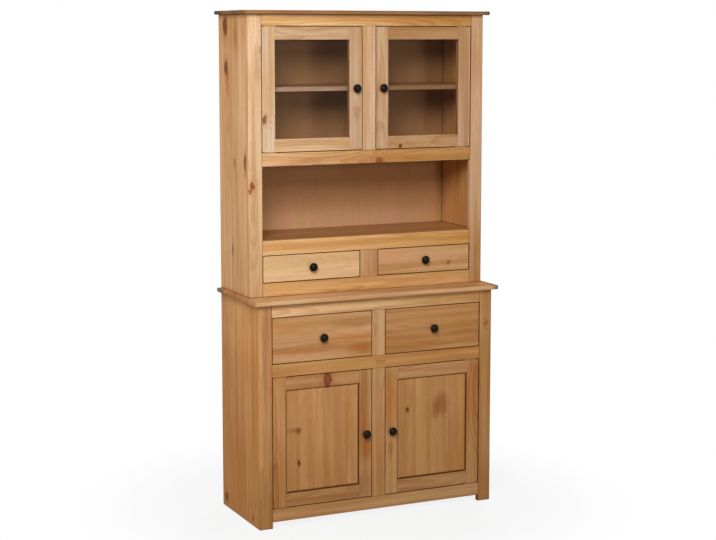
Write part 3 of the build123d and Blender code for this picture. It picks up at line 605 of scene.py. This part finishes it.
for side, low, high in (("left", -0.385, -0.072), ("right", 0.072, 0.385)):
    pine(f"glass_{side}_door_beads", "xyz", ((206, 160, 116),), seed=123.0, dull=0.05,
         turned=("x", low + BEAD, high - BEAD, "zyx"))

# Clear float glass, which keeps back a little of the light on each pass, and the faint film
# that a hand-wiped pane has. The film is greyer on the left door and browner on the right one:
# a painted reflection.
pane, film, glass = new_finish("pane_clear")
spot = film.add("TexCoord", out="Object")
wiped = film.noise(spot, (14.0, 14.0, 4.0), 3.0)
dust = film.noise(spot, (900.0, 900.0, 900.0), 1.0)
film.give(glass["Roughness"], film.ease(wiped, 0.35, 0.7, 0.02, 0.07))
# painted reflection: the film's colour goes from grey on the left to brown on the right
painted_reflection_tint = film.mix(film.ease(film.parts(spot)[0], -0.06, 0.06), colour(84, 70, 54),
                 colour(54, 36, 20))
film.give(glass["Base Color"], film.mix(film.sum("MULTIPLY", wiped, 0.6), painted_reflection_tint,
                                        colour(84, 64, 44)))
film.give(glass["Alpha"], film.sum("ADD", film.ease(wiped, 0.3, 0.75, 0.10, 0.13),
                                   film.ease(dust, 0.62, 0.75, 0.0, 0.03)))
glass["IOR"].default_value = 1.5
glass["Specular IOR Level"].default_value = 0.22
for side in ("left", "right"):
    coat(f"glass_{side}_door_pane", pane)

# ---- Drawers ---------------------------------------------------------------------------------
# Solid pine fronts with rounded edges, screwed to boxes of thinner pine sides with a
# plywood bottom let into a groove.
BOX_SIDE = 0.0125
pine("base_left_drawer_front", "zyx", ((193, 146, 102),), seed=131.0, figure=0.35, knots_and_painted_light=(
    (0.650, -0.074, 0.011, 3.0, 0.9, BURNT), (0.690, -0.10, 0.009, 9.0, 0.8, ORANGE_STREAK),
    (0.655, -0.30, 0.007, 12.0, 0.6, ORANGE_STREAK), (0.748, -0.10, 0.010, 6.0, 0.4, DARK_STREAK_AND_PAINTED_SHADE)))
pine("base_right_drawer_front", "zyx", ((184, 135, 87),), seed=134.0, figure=0.3)
pine("hutch_left_drawer_front", "zyx", ((226, 189, 146),), seed=137.0, figure=0.15, streak=0.7)
pine("hutch_right_drawer_front", "zyx", ((201, 155, 113),), seed=140.0, figure=0.35,
     knots_and_painted_light=((0.934, 0.337, 0.006, 1.6, 0.7, BROWN_KNOT),))
for unit in ("base", "hutch"):
    for side in ("left", "right"):
        piece = f"{unit}_{side}_drawer_box"
        low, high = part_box(piece)
        pine(piece, "zxy", ((202, 158, 112),), seed=143.0, dull=0.12,
             turned=("x", low.x + BOX_SIDE, high.x - BOX_SIDE, "yzx"))

# ---- Knobs, pivots and catches ---------------------------------------------------------------
# Cast mushroom knobs in black with a worn half gloss, brass knife pivots above and below each
# door, and brown moulded magnetic catches.


def cast(name, dark, light, metal, rough, wear, grit):
    """A metal or moulded finish: two tones in soft patches, paler where edges are rubbed.
    grit is how many grains of its rough skin lie in a metre."""
    material, finish, shader = new_finish(name)
    spot = finish.add("TexCoord", out="Object")
    patches = finish.ease(finish.noise(spot, (90.0, 90.0, 90.0), 3.0), 0.35, 0.7)
    skin = finish.noise(spot, (grit, grit, grit))
    rubbed = finish.sum("MULTIPLY", finish.worn_edge(0.0012, 0.98, 0.80),
                        finish.ease(skin, 0.3, 0.6))
    tone = finish.mix(patches, colour(*dark), colour(*light))
    finish.give(shader["Base Color"], finish.mix(rubbed, tone, colour(*wear)))
    finish.give(shader["Roughness"], finish.ease(skin, 0.3, 0.7, rough - 0.07, rough + 0.09))
    finish.give(shader["Normal"], finish.add("Bump", {"Strength": 0.25, "Distance": 0.0002,
                                                      "Height": skin}))
    shader["Metallic"].default_value = metal
    return material, shader


iron, worn_gloss = cast("knob_black", (10, 6, 4), (18, 12, 8), 0.0, 0.42, (44, 32, 24), 700.0)
worn_gloss["Specular IOR Level"].default_value = 0.12
worn_gloss["Specular Tint"].default_value = (1.0, 0.78, 0.62, 1.0)
brass, _ = cast("pivot_yellow", (150, 116, 60), (178, 142, 80), 1.0, 0.36, (206, 178, 120), 900.0)
moulded, _ = cast("catch_brown", (74, 48, 30), (88, 58, 38), 0.0, 0.48, (120, 88, 62), 1200.0)
for name in nodes:
    for ending, metal in (("knob", iron), ("pivot_leaves", brass), ("catches", moulded)):
        if name.endswith(ending):
            coat(name, metal)

# ---- Fixings ---------------------------------------------------------------------------------
# Cross-headed screws hold the back panels, the pivot leaves and the catches, and one bolt runs
# into each knob from behind. The drawer boxes and the glazing beads are pinned with brads.
steel, _ = cast("fixing_zinc", (120, 118, 112), (152, 150, 144), 1.0, 0.38, (188, 186, 180), 900.0)

# the radius of each head, and how far it stands out
BACK_SCREW, KNOB_BOLT, CATCH_SCREW = (0.0036, 0.0008), (0.0042, 0.0024), (0.0026, 0.0009)
PIVOT_SCREW, PLATE_SCREW = (0.0026, 0.0002), (0.0027, 0.0002)
BOX_BRAD, BEAD_PIN = (0.0012, 0.0002), (0.0008, 0.0002)
SUNK = 0.0002
SIDES = 24


def new_piece(name, mesh, metal, body):
    """Turns a finished mesh into a piece that rides on a body."""
    bmesh.ops.recalc_face_normals(mesh, faces=mesh.faces)
    made = bpy.data.meshes.new(name)
    mesh.to_mesh(made)
    mesh.free()
    made.materials.append(metal)
    thing = bpy.data.objects.new(name, made)
    bpy.context.scene.collection.objects.link(thing)
    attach(thing, body)


def heads(piece, body, metal, places, way, size, cross=True):
    """One piece of like screw or brad heads. way is the axis they look along, and its sign."""
    radius, rise = size
    mesh = bmesh.new()
    axis = Vector([float(a == way[1]) for a in "xyz"]) * (1 if way[0] == "+" else -1)
    for count, place in enumerate(places):
        # each head stops at another turn
        turn = Matrix.Rotation(0.7 * count + 0.3, 4, "Z")
        tilt = axis.to_track_quat("Z", "Y").to_matrix().to_4x4()
        stand = Matrix.Translation(place) @ tilt @ turn
        rings = []
        for share, high in ((1.0, -SUNK), (1.0, 0.25 * rise), (0.88, 0.75 * rise), (0.62, rise)):
            rings.append([mesh.verts.new((radius * share * math.cos(math.tau * i / SIDES),
                                          radius * share * math.sin(math.tau * i / SIDES), high))
                          for i in range(SIDES)])
        for low, high in zip(rings, rings[1:]):
            for i in range(SIDES):
                mesh.faces.new((low[i - 1], low[i], high[i], high[i - 1]))
        mesh.faces.new(reversed(rings[0]))
        made = [spot for ring in rings for spot in ring]
        if cross:
            arm, half = 0.46 * radius, 0.12 * radius
            outline = [(arm, -half), (arm, half), (half, half), (half, arm), (-half, arm),
                       (-half, half), (-arm, half), (-arm, -half), (-half, -half), (-half, -arm),
                       (half, -arm), (half, -half)]
            mouth = [mesh.verts.new((x, y, rise)) for x, y in outline]
            slot_floor = [mesh.verts.new((0.7 * x, 0.7 * y, 0.35 * rise)) for x, y in outline]
            for i in range(len(outline)):
                mesh.faces.new((mouth[i - 1], mouth[i], slot_floor[i], slot_floor[i - 1]))
            mesh.faces.new(slot_floor)
            loop = [mesh.edges.get((ring[i - 1], ring[i])) for ring in (rings[-1], mouth)
                    for i in range(len(ring))]
            bmesh.ops.triangle_fill(mesh, edges=loop, use_beauty=True)
            made += mouth + slot_floor
        else:
            mesh.faces.new(rings[-1])
        bmesh.ops.transform(mesh, matrix=stand, verts=made)
    new_piece(piece, mesh, metal, body)


def share_out(low, high, shares):
    """Places between low and high, each at its share of the way."""
    return [low + share * (high - low) for share in shares]


# the back panels, screwed to the rear edges of the floors and shelves
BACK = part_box("hutch_back_panel")[1].y
BOARD = 0.018
low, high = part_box("base_shelves")
hutch_boards = ("hutch_niche_floor", "hutch_cupboard_floor", "hutch_shelf")
for unit, levels in (("base", (low.z + BOARD / 2, high.z - BOARD / 2)),
                     ("hutch", [middle_of(board)[2] for board in hutch_boards])):
    heads(f"{unit}_back_screws", "cabinet", steel,
          [(x, BACK, z) for z in levels for x in (-0.42, -0.21, 0.0, 0.21, 0.42)],
          "+y", BACK_SCREW)

# the knobs, the doors' pivot leaves, the drawer boxes and the glazing beads
LEAF_SCREWS = (0.378, 0.392)
PIN_IN, BRAD_IN_FRONT, BRAD_IN_BACK = 0.004, 0.008, 0.006
for side, s in (("left", -1), ("right", 1)):
    for unit in ("base", "glass"):
        door = f"{unit}_{side}_door"
        x, _, z = middle_of(f"{door}_knob")
        heads(f"{door}_knob_bolt", door, steel,
              [(x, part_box(f"{door}_stiles")[1].y, z)], "+y", KNOB_BOLT)
        low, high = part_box(f"{door}_pivot_leaves")
        for end, way, level in (("foot", "-z", low.z), ("top", "+z", high.z)):
            heads(f"{door}_pivot_screws_{end}", door, brass,
                  [(s * x, (low.y + high.y) / 2, level) for x in LEAF_SCREWS], way, PIVOT_SCREW)
    for unit in ("base", "hutch"):
        drawer = f"{unit}_{side}_drawer"
        x, _, z = middle_of(f"{drawer}_knob")
        heads(f"{drawer}_knob_bolt", drawer, steel,
              [(x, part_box(f"{drawer}_front")[1].y, z)], "+y", KNOB_BOLT)
        low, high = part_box(f"{drawer}_box")
        levels = share_out(low.z, high.z, (0.25, 0.55, 0.85))
        for way, edge in (("-x", low.x), ("+x", high.x)):
            where = "in" if way[0] == ("-" if s > 0 else "+") else "out"
            heads(f"{drawer}_brads_{where}", drawer, steel,
                  [(edge, y, z) for z in levels
                   for y in (low.y + BRAD_IN_FRONT, high.y - BRAD_IN_BACK)],
                  way, BOX_BRAD, cross=False)
    low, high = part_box(f"glass_{side}_door_beads")
    upright = [(x, high.y, z) for x in (low.x + PIN_IN, high.x - PIN_IN)
               for z in share_out(low.z, high.z, (0.06, 0.28, 0.5, 0.72, 0.94))]
    level = [(x, high.y, z) for z in (low.z + PIN_IN, high.z - PIN_IN)
             for x in share_out(low.x, high.x, (0.15, 0.5, 0.85))]
    heads(f"glass_{side}_door_bead_pins", f"glass_{side}_door", brass, upright + level, "+y",
          BEAD_PIN, cross=False)

# the frame's pivot leaves, which lie on the rails' edges, and the catches
LEAF = 0.0012
FOOT_RAILS = ("base_bottom_rail", "hutch_niche_rail")
HEAD_RAILS = ("base_mid_rail", "hutch_top_rail")
for end, way, rails, edge, rise in (("foot", "+z", FOOT_RAILS, 1, LEAF),
                                    ("top", "-z", HEAD_RAILS, 0, -LEAF)):
    places = []
    for rail, unit in zip(rails, ("base", "glass")):
        low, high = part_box(f"{unit}_left_door_pivot_leaves")
        places += [(s * x, (low.y + high.y) / 2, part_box(rail)[edge].z + rise)
                   for s in (-1, 1) for x in LEAF_SCREWS]
    heads(f"frame_pivot_screws_{end}", "cabinet", brass, places, way, PIVOT_SCREW)

CATCH_DEEP, CATCH_HIGH = 0.010, 0.034
low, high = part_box("door_catches")
base_catch = Vector((high.x, low.y + CATCH_DEEP / 2, low.z + CATCH_HIGH / 2))
glass_catch = Vector((high.x, high.y - CATCH_DEEP / 2, high.z - CATCH_HIGH / 2))
for side, way, s in (("left", "-x", -1), ("right", "+x", 1)):
    heads(f"catch_screws_{side}", "cabinet", steel,
          [(s * catch.x, catch.y, catch.z + up) for catch in (base_catch, glass_catch)
           for up in (-0.009, 0.009)], way, CATCH_SCREW)

# Strike plates: thin pressed steel with rounded corners, screwed to the doors' backs where they
# meet the magnets.
PLATE_X, PLATE_THICK = 0.0485, 0.0006
HALF_WIDE, HALF_HIGH, ROUNDED, PRESSED = 0.0075, 0.0135, 0.003, 0.00035
for side, s in (("left", -1), ("right", 1)):
    for unit, catch in (("base", base_catch), ("glass", glass_catch)):
        door = f"{unit}_{side}_door"
        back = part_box(f"{door}_stiles")[1].y
        mesh = bmesh.new()
        layers = []
        for inset, deep in ((0.0, -SUNK), (0.0, 0.65 * PLATE_THICK), (PRESSED, PLATE_THICK)):
            layers.append([])
            for step in range(SIDES):
                angle = math.tau * (step + 0.5) / SIDES
                x = math.copysign(HALF_WIDE - ROUNDED, math.cos(angle))
                up = math.copysign(HALF_HIGH - ROUNDED, math.sin(angle))
                layers[-1].append(mesh.verts.new((
                    s * PLATE_X + x + (ROUNDED - inset) * math.cos(angle), back + deep,
                    catch.z + up + (ROUNDED - inset) * math.sin(angle))))
        for low, high in zip(layers, layers[1:]):
            for i in range(SIDES):
                mesh.faces.new((low[i - 1], low[i], high[i], high[i - 1]))
        mesh.faces.new(layers[0])
        mesh.faces.new(layers[-1])
        new_piece(f"{unit}_{side}_strike_plate", mesh, steel, door)
        heads(f"{unit}_{side}_strike_screw", door, steel,
              [(s * PLATE_X, back + PLATE_THICK, catch.z)], "+y", PLATE_SCREW)

# ---- Room: floor, light and camera -----------------------------------------------------------
# A pale floor that runs out into white, with the cabinet's shadow only near its feet. A large
# soft lamp stands at the front left, and smaller or weaker ones at the front, side and rear.
FLOOR_HALF = 40.0
PALE = (0.58, 0.58, 0.58, 1.0)
SHADOW_NEAR, SHADOW_FAR = 0.45, 1.3
floor_mesh = bpy.data.meshes.new("floor")
floor_mesh.from_pydata([(-FLOOR_HALF, -FLOOR_HALF, 0), (FLOOR_HALF, -FLOOR_HALF, 0),
                        (FLOOR_HALF, FLOOR_HALF, 0), (-FLOOR_HALF, FLOOR_HALF, 0)], [],
                       [(0, 1, 2, 3)])
floor = bpy.data.objects.new("floor", floor_mesh)
bpy.context.scene.collection.objects.link(floor)


def seen_white(layout):
    """One for rays that come from the camera, a gloss or a pane, which see plain white."""
    path = layout.add("LightPath").node.outputs
    return layout.sum("MAXIMUM", path["Is Camera Ray"], layout.sum(
        "MAXIMUM", path["Is Glossy Ray"], path["Is Transmission Ray"]))


paper = bpy.data.materials.new("floor_paper")
paper.use_nodes = True
paper.node_tree.nodes.clear()
sheet = Finish(paper.node_tree)
from_cabinet = sheet.vector("SUBTRACT", sheet.add("TexCoord", out="Object"), (0.0, 0.05, 0.0))
far = sheet.ease(sheet.vector("LENGTH", from_cabinet, out="Value"), SHADOW_NEAR, SHADOW_FAR)
lit = sheet.add("BsdfDiffuse", {"Color": PALE})
glow = sheet.add("Emission", {"Strength": 1.0})
near_glow = sheet.add("MixShader", {0: sheet.ease(far, 0.0, 1.0, 0.86, 1.0), 1: lit, 2: glow})
out = sheet.add("MixShader", {0: seen_white(sheet), 1: lit, 2: near_glow})
sheet.give(paper.node_tree.nodes.new("ShaderNodeOutputMaterial").inputs["Surface"], out)
floor_mesh.materials.append(paper)

AMBIENT = 0.07
world = bpy.data.worlds.new("room")
bpy.context.scene.world = world
world.use_nodes = True
world.node_tree.nodes.clear()
room = Finish(world.node_tree)
sky = room.add("Background", {"Color": (1, 1, 1, 1), "Strength": room.ease(
    seen_white(room), 0.0, 1.0, AMBIENT, 1.0, "LINEAR")})
room.give(world.node_tree.nodes.new("ShaderNodeOutputWorld").inputs["Surface"], sky)


def lamp(name, place, aim, size, watts):
    """A soft square lamp at place, pointed at aim."""
    light = bpy.data.lights.new(name, "AREA")
    light.shape, light.size, light.energy = "SQUARE", size, watts
    made = bpy.data.objects.new(name, light)
    made.location = place
    made.rotation_euler = (Vector(aim) - Vector(place)).to_track_quat("-Z", "Y").to_euler()
    bpy.context.scene.collection.objects.link(made)


lamp("key", (-2.05, -3.4, 3.25), (0.0, -0.1, 1.3), 1.7, 165.0)
lamp("front_fill", (0.35, -4.2, 1.75), (0.0, 0.0, 1.2), 0.6, 26.0)
lamp("side_fill", (-3.4, 0.2, 1.9), (-0.4, 0.0, 1.1), 1.6, 20.0)
lamp("rear_fill", (2.6, 3.4, 2.3), (0.2, 0.2, 1.0), 1.8, 150.0)

# The camera looks down a little from the left, and its shift keeps the upright lines parallel.
LOOKS_DOWN, LOOKS_RIGHT = 0.1224, 0.4379
view = bpy.data.cameras.new("camera")
view.sensor_fit, view.sensor_width, view.lens = "HORIZONTAL", 36.0, 81.68
view.shift_y = -0.0489
view.clip_end = 100.0
camera = bpy.data.objects.new("camera", view)
camera.location = (-2.6035, -5.556, 1.8005)
camera.rotation_euler = (math.pi / 2 - LOOKS_DOWN, 0.0, -LOOKS_RIGHT)
bpy.context.scene.collection.objects.link(camera)
bpy.context.scene.camera = camera
bpy.context.scene.view_settings.view_transform = "Standard"
